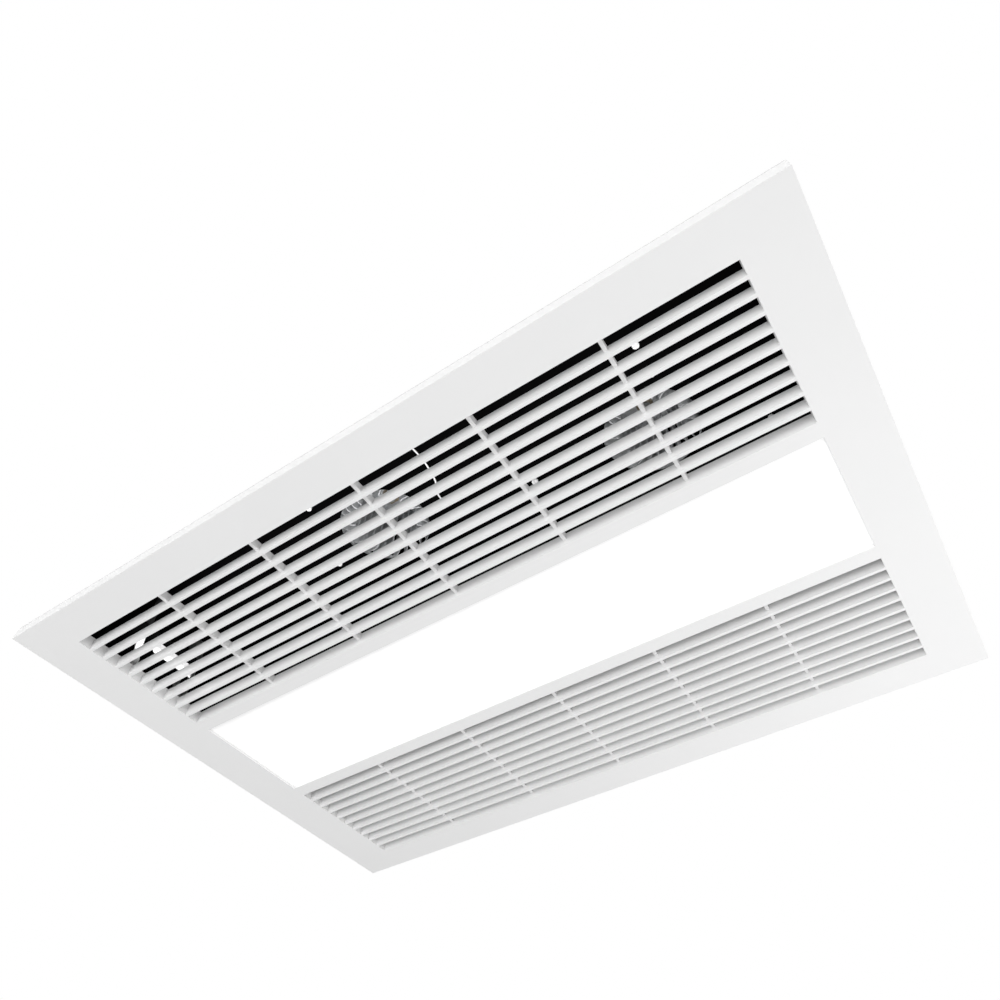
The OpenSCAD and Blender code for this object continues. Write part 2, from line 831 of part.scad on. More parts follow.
module scroll(outlet) {
    difference() {
        union() {
            translate([0, 0, deck_top]) linear_extrude(scroll_h + scroll_t)
                scroll_space(scroll_t, outlet);
            at_feet() rod(scroll_rim_w, deck_top, deck_top + scroll_t);
        }
        translate([0, 0, deck_top - 1]) linear_extrude(scroll_h + 1)
            scroll_space(0, outlet + 1);
        rod(bush_r + 1.5, scroll_top - 1, motor_z + 1);
        at_feet() rod(screw_r + loose, deck_top - 1, deck_top + 4);
        motor_screw_places() rod(screw_r - 0.4, scroll_top - 1, motor_z + 1);
    }
}

module motor_screw_places() {
    for (a = motor_ears)
        rotate(a) translate([ear_reach, 0, 0]) children();
}

module motor_shell() {
    floor_z = motor_z + motor_t;
    difference() {
        union() {
            rod(motor_r, motor_z, lid_z);
            motor_screw_places() rod(ear_r, motor_z, floor_z);
            for (a = motor_ears)
                rotate(a) translate([0, -ear_r, motor_z]) cube([ear_reach, 2 * ear_r, motor_t]);
        }
        rod(motor_r - motor_t, floor_z, motor_top);
        rod(bush_r, motor_z - 1, motor_z + 5);
        motor_screw_places() rod(screw_r - 0.2, motor_z - 1, motor_z + 5);
    }
}

module motor_cap() {
    difference() {
        union() {
            rod(motor_r, lid_z, lid_z + motor_t);
            rod(bush_r + 2, lid_z, motor_top);
        }
        rod(bush_r, lid_z - 1, motor_top + 1);
    }
}

module stator() {
    difference() {
        union() {
            rod(motor_r - motor_t, stator_z, stator_z + rotor_h);
            tube(motor_r - 3.5, rotor_r + 1.5, stator_z - 3, stator_z + rotor_h + 3);
        }
        rod(rotor_r + 0.5, stator_z - 5, stator_z + rotor_h + 5);
    }
}

module bushes() {
    tube(bush_r, shaft_r + run, motor_z, motor_z + bush_h);
    tube(bush_r, shaft_r + run, motor_top - bush_h, motor_top);
}

module shaft() {
    rod(shaft_r, wheel_top - hub_h - 6, motor_top + 2);
}

module rotor() {
    tube(rotor_r, shaft_r, stator_z, stator_z + rotor_h);
}

// One forward-curved blade
module blade() {
    steps = 4;
    lean = 16;
    arc = [for (i = [0:steps])
        let (t = i / steps, r = eye_r + t * (wheel_r - eye_r), a = lean * t * t)
        r * [cos(a), sin(a)]];
    edge = [for (i = [steps:-1:0]) arc[i] + [0, blade_t]];
    polygon(concat(arc, edge));
}

module impeller() {
    difference() {
        union() {
            translate([0, 0, wheel_z]) linear_extrude(wheel_h - back_t / 2)
                for (i = [0:blade_n - 1])
                    rotate(360 * i / blade_n) blade();
            tube(rim_r, wheel_r - ring_w, wheel_z, wheel_z + ring_t);
            rod(rim_r, wheel_top - back_t, wheel_top);
            rod(hub_r, wheel_top - hub_h, wheel_top);
        }
        rod(shaft_r, wheel_z - 1, wheel_top + 1);
    }
}

module wheel_nut() {
    difference() {
        rod(7, wheel_top - hub_h - 4, wheel_top - hub_h, $fn = 6);
        rod(shaft_r, wheel_z, wheel_top);
    }
}

outlet_y = divider_y - sheet_t - heater_y;
outlet_x = half_w - exhaust_x;

module heater_scroll() { color("#181818") at_heater() scroll(outlet_y); }
module heater_motor_shell() { color("silver") at_heater() motor_shell(); }
module heater_motor_cap() { color("silver") at_heater() motor_cap(); }
module heater_stator() { color("sienna") at_heater() stator(); }
module heater_bushes() { color("goldenrod") at_heater() bushes(); }
module heater_shaft() { color("silver") at_heater() shaft(); }
module heater_rotor() { color("gray") at_heater() rotor(); }
module heater_impeller() { color("silver") at_heater() impeller(); }
module heater_nut() { color("goldenrod") at_heater() wheel_nut(); }

module exhaust_scroll() { color("#181818") at_exhaust() scroll(outlet_x); }
module exhaust_motor_shell() { color("silver") at_exhaust() motor_shell(); }
module exhaust_motor_cap() { color("silver") at_exhaust() motor_cap(); }
module exhaust_stator() { color("sienna") at_exhaust() stator(); }
module exhaust_bushes() { color("goldenrod") at_exhaust() bushes(); }
module exhaust_shaft() { color("silver") at_exhaust() shaft(); }
module exhaust_rotor() { color("gray") at_exhaust() rotor(); }
module exhaust_impeller() { color("silver") at_exhaust() impeller(); }
module exhaust_nut() { color("goldenrod") at_exhaust() wheel_nut(); }

// Heating element

module ptc_frame() {
    color("ivory") translate([0, ptc_y, 0]) difference() {
        slab([ptc_w + 2 * ptc_frame_t, ptc_d + 2 * ptc_frame_t, ptc_top - ptc_bottom], ptc_bottom);
        slab([ptc_w, ptc_d, bar_h + 1], ptc_top - bar_h);
        slab([ptc_w - 2 * ptc_lip, ptc_d - 2 * ptc_lip, 10], ptc_bottom - 1);
        for (p = ptc_corners)
            translate([p[0], p[1] - ptc_y, 0]) rod(screw_r, ptc_top - 12, ptc_top + 1);
        for (i = [1:fin_rows - 1])
            translate([-ptc_w / 2 - ptc_frame_t / 2, bar_place(i), 0])
                slab([ptc_frame_t + 2, 1.2, 8.4], tab_z - 0.2);
    }
}

tab_z = ptc_top - bar_h / 2 - 4;

function bar_place(i) = i * (fin_d + bar_d) - bar_d / 2 - ptc_d / 2;

module ptc_bars() {
    color("silver") translate([0, ptc_y, 0])
        for (i = [1:fin_rows - 1])
            translate([0, bar_place(i), 0]) slab([ptc_w, bar_d, bar_h], ptc_top - bar_h);
}

// Folded strip of fins: down one side of the zigzag and back along the other
module fin_row() {
    sheet = 0.5;
    step = (ptc_w - 4) / fin_folds;
    crest = [for (i = [0:fin_folds])
        [(i - fin_folds / 2) * step, (i % 2 == 0 ? -1 : 1) * (fin_d / 2 - sheet)]];
    polygon(concat(
        [for (p = crest) p + [0, sheet]],
        [for (i = [fin_folds:-1:0]) crest[i] - [0, sheet]]
    ));
}

module ptc_fins() {
    color("lightgray") translate([0, ptc_y, ptc_top - (bar_h + fin_h) / 2])
        for (i = [0:fin_rows - 1])
            translate([0, bar_place(i) + (fin_d + bar_d) / 2, 0])
                linear_extrude(fin_h) fin_row();
}

module ptc_terminals() {
    color("goldenrod") translate([0, ptc_y, 0])
        for (i = [1:fin_rows - 1])
            translate([-ptc_w / 2 - 8, bar_place(i), 0]) difference() {
                slab([16, 0.8, 8], tab_z);
                translate([-5, 0, tab_z + 4]) rotate([90, 0, 0]) rod(1.2, -3, 3);
            }
}

module thermal_cutout() {
    cutout_x = -ptc_w / 2 - ptc_frame_t - 22;
    color("#202020") translate([cutout_x, ptc_y, 0]) {
        rod(8.5, deck_z - 8, deck_z - 1);
        slab([26, 10, 1], deck_z - 1);
        for (s = [-1, 1])
            translate([s * 4, 0, 0]) slab([0.8, 5, 9], deck_z - 16.5);
    }
}

// Duct spigot with its gravity flap

module along_duct() {
    translate([0, spigot_y, spigot_z]) rotate([0, 90, 0]) children();
}

module seat_outline() {
    intersection() {
        rotate([0, 90, 0]) rod(seat_r, -5, seat_t + 5);
        translate([-6, -seat_r, -seat_r]) cube([seat_t + 12, 2 * seat_r, seat_r + hinge_up - 4.5]);
    }
}

module duct_spigot() {
    ear_y = barrel_l / 2 + ear_gap;
    color("#303030") difference() {
        union() {
            translate([spigot_x, spigot_y - spigot_base / 2, spigot_z - spigot_base / 2])
                cube([2, spigot_base, spigot_base]);
            along_duct() tube(spigot_r, spigot_r - spigot_t, spigot_x, spigot_x + spigot_l);
            along_duct() rod(spigot_r - spigot_t / 2, seat_x, seat_x + seat_t);
            translate([0, spigot_y, 0]) mirror_y()
                translate([seat_x + seat_t / 2, ear_y, hinge_z - ear_h])
                    cube([hinge_x + ear_h - seat_x - seat_t / 2, ear_l, 2 * ear_h]);
        }
        along_duct() rod(spigot_r - spigot_t, spigot_x - 1, seat_x);
        translate([seat_x, spigot_y, spigot_z]) seat_outline();
        translate([hinge_x, spigot_y, hinge_z]) rotate([90, 0, 0])
            rod(pin_r, -ear_y - ear_l - 1, ear_y + ear_l + 1);
        spigot_screw_holes(screw_r + loose, -1, 3);
    }
}

module backdraft_flap() {
    color("gainsboro") difference() {
        union() {
            translate([flap_x, spigot_y, spigot_z]) intersection() {
                rotate([0, 90, 0]) rod(flap_r, 0, flap_t);
                union() {
                    translate([-1, -flap_r, -flap_r]) cube([5, 2 * flap_r, flap_r + hinge_up - 9]);
                    translate([-1, -barrel_l / 2 + 1, 0]) cube([5, barrel_l - 2, hinge_up]);
                }
            }
            translate([hinge_x, spigot_y, hinge_z]) rotate([90, 0, 0])
                rod(barrel_r, -barrel_l / 2, barrel_l / 2);
            for (y = [-22, 0, 22])
                translate([flap_x + flap_t / 2, spigot_y + y - 1, spigot_z - 20])
                    cube([2, 2, 20 + hinge_up - 2]);
        }
        translate([hinge_x, spigot_y, hinge_z]) rotate([90, 0, 0])
            rod(pin_r + run, -barrel_l, barrel_l);
    }
}

module flap_pin() {
    reach = barrel_l / 2 + ear_gap + ear_l;
    color("silver") translate([hinge_x, spigot_y, hinge_z]) rotate([90, 0, 0])
        rod(pin_r, -reach, reach);
}

// Electrics

module terminal_box() {
    color("#202020") difference() {
        translate([box_x, box_y - box_l / 2, box_z]) cube([box_d, box_l, box_h]);
        translate([box_x + box_t, box_y - box_l / 2 + box_t, box_z + box_t])
            cube([box_d, box_l - 2 * box_t, box_h - 2 * box_t]);
        translate([box_x, gland_y, gland_z]) rotate([0, 90, 0]) rod(gland_out + loose, -2, 5);
    }
}

module terminal_block() {
    block_h = 24;
    block_l = pole_n * pole_pitch;
    block_y = box_y + box_l / 2 - 3 - block_l;
    block_z = box_z + 14;
    color("ivory") difference() {
        translate([box_x + box_t, block_y, block_z]) cube([16, block_l, block_h]);
        for (i = [0:pole_n - 1], z = [block_h / 4, block_h * 3 / 4])
            translate([box_x + 10, block_y + (i + 0.5) * pole_pitch, block_z + z])
                rotate([0, 90, 0]) rod(2, 0, 20);
        for (i = [1:pole_n - 1])
            translate([box_x + 12, block_y + i * pole_pitch - 0.5, box_z]) cube([20, 1, 60]);
    }
}

module cable_gland() {
    color("#303030") translate([box_x, gland_y, gland_z]) rotate([0, -90, 0]) difference() {
        union() {
            rod(gland_out, -box_t - hex_t - 1, sheet_t + 14);
            rod(gland_out + 3, sheet_t, sheet_t + hex_t, $fn = 6);
            rod(gland_out + 1.5, sheet_t + hex_t, sheet_t + 14);
            rod(gland_out + 3, -box_t - hex_t, -box_t, $fn = 6);
        }
        rod(gland_r, -20, sheet_t + 20);
    }
}

module capacitor() {
    tag_h = 8;
    color("lightgray") translate([cap_x, cap_y, 0]) {
        rod(cap_r, deck_top, deck_top + cap_h);
        mirror_y() translate([0, 5, 0]) slab([5, 0.8, tag_h], deck_top + cap_h);
    }
}

module capacitor_clip() {
    band_h = 12;
    foot_w = 16;
    clip_t = 1.2;
    color("dimgray") translate([cap_x, cap_y, 0]) difference() {
        union() {
            rod(cap_r + clip_t, deck_top, deck_top + band_h);
            translate([cap_r, -foot_w / 2, deck_top]) cube([14, foot_w, clip_t]);
        }
        rod(cap_r, deck_top - 1, deck_top + band_h + 1);
    }
}

module bracket_screw_place() {
    translate([-half_w, bracket_y + bracket_l / 2, bracket_z + bracket_h / 2])
        rotate([0, -90, 0]) children();
}

module connector_bracket() {
    color("#181818") difference() {
        union() {
            translate([-half_w, bracket_y, bracket_z]) cube([bracket_d, bracket_l, sheet_t]);
            translate([-half_w, bracket_y, bracket_z]) cube([sheet_t, bracket_l, bracket_h]);
        }
        translate([lead_end[0], lead_end[1], 0])
            rod(lead_r + loose, bracket_z - 1, bracket_z + 3);
        bracket_screw_place() rod(screw_r, -5, 2);
    }
}

module light_connector() {
    corner_x = 4;
    corner_y = 6;
    taper = 9;
    tip = 0.6;
    color("white") translate([plug_x, plug_y, bracket_z - plug_h]) linear_extrude(plug_h)
        polygon([
            [-plug_w / 2, -plug_l / 2 + corner_y], [-plug_w / 2 + corner_x, -plug_l / 2],
            [plug_w / 2, -plug_l / 2], [plug_w / 2, plug_l / 2 - taper],
            [-plug_w / 2 + tip, plug_l / 2], [-plug_w / 2, plug_l / 2]
        ]);
}

module light_lead() {
    color("white") lead(lead_route, lead_r);
}

module lead_sleeve() {
    color("#202020") translate([lead_end[0], lead_end[1], 0])
        rod(lead_r, lead_top[2], deck_top + 12);
}

module sensor_lead() {
    color("gainsboro") lead(wire_route, wire_r, 6);
}

module lead_clips() {
    color("#202020") for (p = clip_places)
        translate([p[0], p[1], 0]) slab([7, 6, 3], deck_z - 3);
}

fascia();
fascia_seal();
hanger_strap_left_near();
hanger_strap_left_far();
hanger_strap_right_near();
hanger_strap_right_far();
strap_screws();
hanger_screws();
friction_washers();
housing_shell();
end_panel_left();
end_panel_right();
blower_deck();
upper_partition();
lower_divider();
housing_screws();
deck_screws();
light_tray();
led_boards();
led_chips();
diffuser();
diffuser_pins();
led_driver();
heater_scroll();
heater_motor_shell();
heater_motor_cap();
heater_stator();
heater_bushes();
heater_shaft();
heater_rotor();
heater_impeller();
heater_nut();
exhaust_scroll();
exhaust_motor_shell();
exhaust_motor_cap();
exhaust_stator();
exhaust_bushes();
exhaust_shaft();
exhaust_rotor();
exhaust_impeller();
exhaust_nut();
ptc_frame();
ptc_fins();
ptc_bars();
ptc_terminals();
thermal_cutout();
duct_spigot();
backdraft_flap();
flap_pin();
terminal_box();
terminal_block();
cable_gland();
capacitor();
capacitor_clip();
connector_bracket();
light_connector();
light_lead();
lead_sleeve();
sensor_lead();
lead_clips();
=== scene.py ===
"""Looks of the ceiling bathroom heater exhaust fan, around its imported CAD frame.

The origin is on the ceiling plane, +Z points up into the ceiling, +X along the long side
towards the duct. Lengths are in metres.
"""

import json
import math

import bpy
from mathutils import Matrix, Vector


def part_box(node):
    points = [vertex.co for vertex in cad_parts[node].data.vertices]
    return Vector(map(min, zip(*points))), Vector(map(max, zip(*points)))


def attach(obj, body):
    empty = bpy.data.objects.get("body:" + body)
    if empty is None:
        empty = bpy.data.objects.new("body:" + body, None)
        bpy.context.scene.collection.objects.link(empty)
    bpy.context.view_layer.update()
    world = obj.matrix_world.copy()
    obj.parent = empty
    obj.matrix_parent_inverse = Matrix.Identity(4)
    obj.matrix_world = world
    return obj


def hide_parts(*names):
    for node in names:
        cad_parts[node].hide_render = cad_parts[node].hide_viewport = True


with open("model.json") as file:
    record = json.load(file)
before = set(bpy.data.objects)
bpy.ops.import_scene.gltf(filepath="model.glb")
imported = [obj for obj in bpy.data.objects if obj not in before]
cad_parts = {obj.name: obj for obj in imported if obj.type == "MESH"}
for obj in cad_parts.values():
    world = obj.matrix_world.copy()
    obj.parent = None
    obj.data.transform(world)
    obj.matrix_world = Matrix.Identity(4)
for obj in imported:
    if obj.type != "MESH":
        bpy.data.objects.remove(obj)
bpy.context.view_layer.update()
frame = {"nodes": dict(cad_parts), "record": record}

MM = 0.001


# Camera: the photograph's point of view, from below and from the duct side

CAMERA_AT = Vector((222.1, -344.3, -372.8)) * MM
CAMERA_AIM = Vector((69.8, -113.4, -10.0)) * MM
CAMERA_LENS_MM = 27.11
CAMERA_SENSOR_MM = 36.0
CAMERA_CLIP_START = 0.01


def make_camera():
    data = bpy.data.cameras.new("camera")
    data.sensor_width = CAMERA_SENSOR_MM
    data.lens = CAMERA_LENS_MM
    data.clip_start = CAMERA_CLIP_START
    camera = bpy.data.objects.new("camera", data)
    camera.location = CAMERA_AT
    camera.rotation_mode = "QUATERNION"
    camera.rotation_quaternion = (CAMERA_AIM - CAMERA_AT).to_track_quat("-Z", "Y")
    bpy.context.scene.collection.objects.link(camera)
    bpy.context.scene.camera = camera


# Materials

DECK_UNDERSIDE = 70 * MM
TRAY_INSIDE_TOP = 11.5 * MM
WALL_OFF_DECK = 1.5 * MM
ROOF_OFF_PARTITION = 1 * MM
SKIN = 0.4 * MM
TRAY_SKIN = 0.5 * MM
NOISE_ROUGHNESS = 0.55
PLASTIC_IOR = 1.48
SHEET_EDGE_MM = 0.2


class Surface:
    """One material: a Principled shader, and short calls for the nodes that feed it."""

    def __init__(self, name, rough=0.5, metallic=0.0, ior=1.5):
        self.material = bpy.data.materials.new(name)
        self.material.use_nodes = True
        self.tree = self.material.node_tree
        self.tree.nodes.clear()
        self.out = self.add("ShaderNodeOutputMaterial")
        self.shader = self.add("ShaderNodeBsdfPrincipled")
        self.shader.inputs["Roughness"].default_value = rough
        self.shader.inputs["Metallic"].default_value = metallic
        self.shader.inputs["IOR"].default_value = ior
        self.link(self.shader.outputs["BSDF"], self.out.inputs["Surface"])
        self.place = self.add("ShaderNodeTexCoord").outputs["Object"]
        self.normal = None

    def add(self, kind, **settings):
        node = self.tree.nodes.new(kind)
        for key, value in settings.items():
            setattr(node, key, value)
        return node

    def link(self, source, target):
        self.tree.links.new(source, target)

    def stretched(self, stretch):
        mapping = self.add("ShaderNodeMapping")
        mapping.inputs["Scale"].default_value = stretch
        self.link(self.place, mapping.inputs["Vector"])
        return mapping.outputs["Vector"]

    def noise(self, size, detail, stretch=(1, 1, 1)):
        """Soft random values whose lumps are about size metres across."""
        node = self.add("ShaderNodeTexNoise")
        node.inputs["Scale"].default_value = 1 / size
        node.inputs["Detail"].default_value = detail
        node.inputs["Roughness"].default_value = NOISE_ROUGHNESS
        self.link(self.stretched(stretch), node.inputs["Vector"])
        return node.outputs["Fac"]

    def cells(self, size, output="Distance"):
        """Random cells about size metres across."""
        node = self.add("ShaderNodeTexVoronoi")
        node.inputs["Scale"].default_value = 1 / size
        self.link(self.place, node.inputs["Vector"])
        return node.outputs[output]

    def stretch_range(self, value, low, high, to_low, to_high):
        """value, from low to high, goes smoothly from to_low to to_high."""
        node = self.add("ShaderNodeMapRange", interpolation_type="SMOOTHSTEP")
        node.inputs["From Min"].default_value = low
        node.inputs["From Max"].default_value = high
        node.inputs["To Min"].default_value = to_low
        node.inputs["To Max"].default_value = to_high
        self.link(value, node.inputs["Value"])
        return node.outputs["Result"]

    def math(self, operation, first, second):
        node = self.add("ShaderNodeMath", operation=operation)
        for socket, value in zip(node.inputs, (first, second)):
            if isinstance(value, (int, float)):
                socket.default_value = value
            else:
                self.link(value, socket)
        return node.outputs[0]

    def mix(self, amount, first, second):
        """Colour that goes from first to second as amount goes from 0 to 1."""
        node = self.add("ShaderNodeMix", data_type="RGBA")
        self.link(amount, node.inputs["Factor"])
        for name, value in (("A", first), ("B", second)):
            socket = next(s for s in node.inputs if s.name == name and s.type == "RGBA")
            if isinstance(value, tuple):
                socket.default_value = (*value, 1.0)
            else:
                self.link(value, socket)
        return next(s for s in node.outputs if s.type == "RGBA")

    def colour(self, source):
        self.link(source, self.shader.inputs["Base Color"])

    def roughness(self, source):
        self.link(source, self.shader.inputs["Roughness"])

    def rounded_edges(self, radius):
        node = self.add("ShaderNodeBevel", samples=4)
        node.inputs["Radius"].default_value = radius
        self.normal = node.outputs["Normal"]
        self.link(self.normal, self.shader.inputs["Normal"])

    def bump(self, height, depth, strength=1.0):
        """height, from 0 to 1, raises the surface by up to depth metres."""
        node = self.add("ShaderNodeBump")
        node.inputs["Strength"].default_value = strength
        node.inputs["Distance"].default_value = depth
        self.link(height, node.inputs["Height"])
        if self.normal:
            self.link(self.normal, node.inputs["Normal"])
        self.normal = node.outputs["Normal"]
        self.link(self.normal, self.shader.inputs["Normal"])

    def tone(self, colour):
        """One number for a grey or random colour."""
        node = self.add("ShaderNodeSeparateColor")
        self.link(colour, node.inputs["Color"])
        return node.outputs["Red"]

    def axis(self, name):
        node = self.add("ShaderNodeSeparateXYZ")
        self.link(self.place, node.inputs["Vector"])
        return node.outputs[name]


def moulded(name, dark, light, rough, grain=0.35, edge=0.3, depth=0.012, blotch=40):
    """Moulded plastic: spark-eroded grain, soft shade differences and rounded edges."""
    s = Surface(name, rough, ior=PLASTIC_IOR)
    s.colour(s.mix(s.noise(blotch * MM, 4), dark, light))
    s.rounded_edges(edge * MM)
    s.bump(s.noise(grain * MM, 2), depth * MM, 0.5)
    s.roughness(s.stretch_range(s.noise(6 * MM, 3), 0.3, 0.7, rough - 0.04, rough + 0.05))
    return s


def sheet_metal(name, dark, light, rough, spangle, brushed=(1, 1, 1)):
    """Galvanised or brushed sheet: crystals or fine lines, and dull patches."""
    s = Surface(name, rough, metallic=1.0)
    crystals = s.cells(spangle * MM, output="Color")
    lines = s.noise(0.5 * MM, 2, brushed)
    s.colour(s.mix(s.math("MULTIPLY", s.tone(crystals), 0.9), dark, light))
    s.rounded_edges(SHEET_EDGE_MM * MM)
    s.bump(lines, 0.01 * MM, 0.4)
    patches = s.noise(14 * MM, 4)
    s.roughness(s.stretch_range(patches, 0.25, 0.75, rough - 0.08, rough + 0.14))
    return s


def white_abs():
    return moulded("white_abs", (0.845, 0.845, 0.845), (0.875, 0.875, 0.875), 0.42, grain=0.5,
                   edge=0.12, depth=0.006, blotch=90)


def seal_foam():
    s = Surface("seal_foam", 0.9)
    pores = s.cells(0.6 * MM)
    # Dark grey foam. Its dark tone is also painted shadow: the contact shadow where the fascia's
    # rim meets the ceiling.
    s.colour(s.mix(pores, (0.16, 0.16, 0.16), (0.28, 0.28, 0.28)))
    s.bump(pores, 0.12 * MM)
    return s


def zinc_steel():
    return sheet_metal("zinc_steel", (0.46, 0.47, 0.48), (0.66, 0.66, 0.64), 0.34, spangle=3)


def screw_white():
    """Zinc above the deck, and white heads below it."""
    s = sheet_metal("screw_white", (0.46, 0.47, 0.48), (0.66, 0.66, 0.64), 0.34, spangle=3)
    zinc = s.shader.inputs["Base Color"].links[0].from_socket
    head = s.math("LESS_THAN", s.axis("Z"), DECK_UNDERSIDE)
    s.colour(s.mix(head, zinc, (0.90, 0.90, 0.90)))
    s.link(s.math("SUBTRACT", 1.0, head), s.shader.inputs["Metallic"])
    return s


def powder_coat(name, dark, light):
    s = Surface(name, 0.6, ior=1.45)
    s.shader.inputs["Specular IOR Level"].default_value = 0.0
    s.colour(s.mix(s.noise(60 * MM, 5), dark, light))
    s.rounded_edges(0.3 * MM)
    s.bump(s.noise(0.9 * MM, 2), 0.03 * MM, 0.6)
    s.roughness(s.stretch_range(s.noise(20 * MM, 3), 0.3, 0.7, 0.52, 0.68))
    return s


def housing_steel():
    """Galvanised outside, with its crystals. Near-perfect black inside: black paint, and painted
    shade standing for the unlit inside of the closed housing.
    """
    s = Surface("housing_steel", 0.4)
    s.shader.inputs["Specular IOR Level"].default_value = 0.0
    crystals = s.tone(s.cells(16 * MM, output="Color"))
    fine = s.noise(2.5 * MM, 4)
    flakes = s.math("ADD", s.math("MULTIPLY", crystals, 0.7), s.math("MULTIPLY", fine, 0.3))
    zinc = s.mix(flakes, (0.40, 0.42, 0.44), (0.64, 0.66, 0.68))
    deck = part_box("blower_deck")[1]
    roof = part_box("upper_partition")[1].z + ROOF_OFF_PARTITION + SKIN
    side = deck.y + WALL_OFF_DECK + SKIN
    near = s.math("LESS_THAN", s.math("ABSOLUTE", s.axis("Y"), 0.0), side)
    between = s.math("LESS_THAN", s.math("ABSOLUTE", s.axis("X"), 0.0), deck.x + SKIN)
    under = s.math("LESS_THAN", s.axis("Z"), roof)
    inside_paint_and_shade = s.math("MULTIPLY", s.math("MULTIPLY", near, between), under)
    # The inside faces get black of 0.002: partly black paint, partly painted shade for the dark
    # inside of the housing.
    s.colour(s.mix(inside_paint_and_shade, zinc, (0.002, 0.002, 0.002)))
    s.link(s.math("SUBTRACT", 1.0, inside_paint_and_shade), s.shader.inputs["Metallic"])
    s.rounded_edges(0.3 * MM)
    s.bump(fine, 0.02 * MM, 0.4)
    s.roughness(s.stretch_range(crystals, 0.0, 1.0, 0.30, 0.52))
    return s


# Black paint, made all but perfectly black (about 0.002) so it also stands for the shade inside
# the housing: partly real colour, partly painted shade.
def deck_black():
    return powder_coat("deck_black", (0.0012, 0.0012, 0.0013), (0.0026, 0.0026, 0.0027))


def tray_white():
    """The light tray: white inside, where the light is, and black outside."""
    s = powder_coat("tray_white", (0.016, 0.016, 0.017), (0.024, 0.024, 0.025))
    black = s.shader.inputs["Base Color"].links[0].from_socket
    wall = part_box("light_tray")[1].y - TRAY_SKIN
    within = s.math("LESS_THAN", s.math("ABSOLUTE", s.axis("Y"), 0.0), wall)
    below = s.math("LESS_THAN", s.axis("Z"), TRAY_INSIDE_TOP)
    s.colour(s.mix(s.math("MULTIPLY", within, below), black, (0.80, 0.80, 0.80)))
    return s


def opal():
    s = Surface("opal", 0.35, ior=1.49)
    s.colour(s.mix(s.noise(30 * MM, 3), (0.90, 0.90, 0.90), (0.94, 0.94, 0.94)))
    s.rounded_edges(0.3 * MM)
    s.bump(s.noise(0.4 * MM, 2), 0.004 * MM, 0.4)
    s.shader.inputs["Emission Color"].default_value = (1.0, 1.0, 1.0, 1.0)
    s.shader.inputs["Emission Strength"].default_value = 0.25
    return s


def board_white():
    return moulded("board_white", (0.78, 0.79, 0.77), (0.84, 0.84, 0.82), 0.4)


def led_yellow():
    return moulded("led_yellow", (0.72, 0.55, 0.14), (0.86, 0.70, 0.24), 0.3, blotch=2)


def black_plastic():
    return moulded("black_plastic", (0.014, 0.014, 0.015), (0.026, 0.026, 0.027), 0.5)


def impeller_steel():
    s = sheet_metal("impeller_steel", (0.48, 0.49, 0.50), (0.68, 0.69, 0.70), 0.45, spangle=5)
    s.shader.inputs["Metallic"].default_value = 0.35
    return s


def motor_steel():
    return sheet_metal("motor_steel", (0.42, 0.43, 0.44), (0.62, 0.63, 0.64), 0.38, spangle=6)


def stator_copper():
    """Lacquered winding bands on a stack of dark laminations."""
    s = Surface("stator_copper", 0.35, metallic=0.7)
    wires = s.noise(0.9 * MM, 1, (1, 1, 0.15))
    s.colour(s.mix(wires, (0.22, 0.07, 0.03), (0.62, 0.27, 0.12)))
    s.bump(wires, 0.3 * MM)
    return s


def bronze():
    return sheet_metal("bronze", (0.30, 0.25, 0.18), (0.46, 0.39, 0.29), 0.42, spangle=1.5)


def frame_ivory():
    return moulded("frame_ivory", (0.62, 0.57, 0.46), (0.72, 0.67, 0.56), 0.55)


def fin_aluminium():
    return sheet_metal("fin_aluminium", (0.60, 0.61, 0.62), (0.76, 0.77, 0.78), 0.32,
                       spangle=12, brushed=(0.2, 1, 1))


def tab_brass():
    return sheet_metal("tab_brass", (0.55, 0.38, 0.12), (0.76, 0.58, 0.26), 0.3, spangle=4)


def spigot_grey():
    return moulded("spigot_grey", (0.028, 0.029, 0.030), (0.045, 0.046, 0.047), 0.5)


def flap_grey():
    return moulded("flap_grey", (0.30, 0.31, 0.31), (0.38, 0.39, 0.39), 0.5)


def can_aluminium():
    return sheet_metal("can_aluminium", (0.55, 0.56, 0.57), (0.70, 0.71, 0.72), 0.3,
                       spangle=20, brushed=(1, 1, 8))


def nylon_white():
    return moulded("nylon_white", (0.90, 0.90, 0.90), (0.94, 0.94, 0.94), 0.4, blotch=12)


def lead_white():
    s = Surface("lead_white", 0.45, ior=1.45)
    s.colour(s.mix(s.noise(5 * MM, 3), (0.88, 0.88, 0.88), (0.93, 0.93, 0.93)))
    s.bump(s.noise(0.5 * MM, 2), 0.02 * MM, 0.5)
    return s


MAKERS = (
    white_abs, seal_foam, zinc_steel, housing_steel, deck_black, tray_white, opal, board_white,
    led_yellow, black_plastic, impeller_steel, motor_steel, stator_copper, bronze, frame_ivory,
    fin_aluminium, tab_brass, spigot_grey, flap_grey, can_aluminium, nylon_white, lead_white,
    screw_white,
)


def dress_nodes():
    """Gives each CAD node the material of its slot in the record."""
    made = {maker.__name__: maker().material for maker in MAKERS}
    for part in frame["record"]["subparts"]:
        mesh = frame["nodes"][part["node"]].data
        mesh.materials.clear()
        mesh.materials.append(made[part["material_slot"]])
    return made


# Leads: their routes are those of the solids that they replace

LEAD_FROM = Vector((-262, -124.3, 10.8)) * MM
LEAD_STUB = 1 * MM
LEAD_TURN = math.radians(34)
LEAD_TURN_RADIUS = 12 * MM
LEAD_RUN = 6.6 * MM
LEAD_RISE_RADIUS = 10.6 * MM
TURN_STEPS = 4
RISE_STEPS = 10
LIGHT_LEAD_MM = 5.2
SENSOR_LEAD_MM = 1.2
SENSOR_LEAD_Z_MM = 69.3


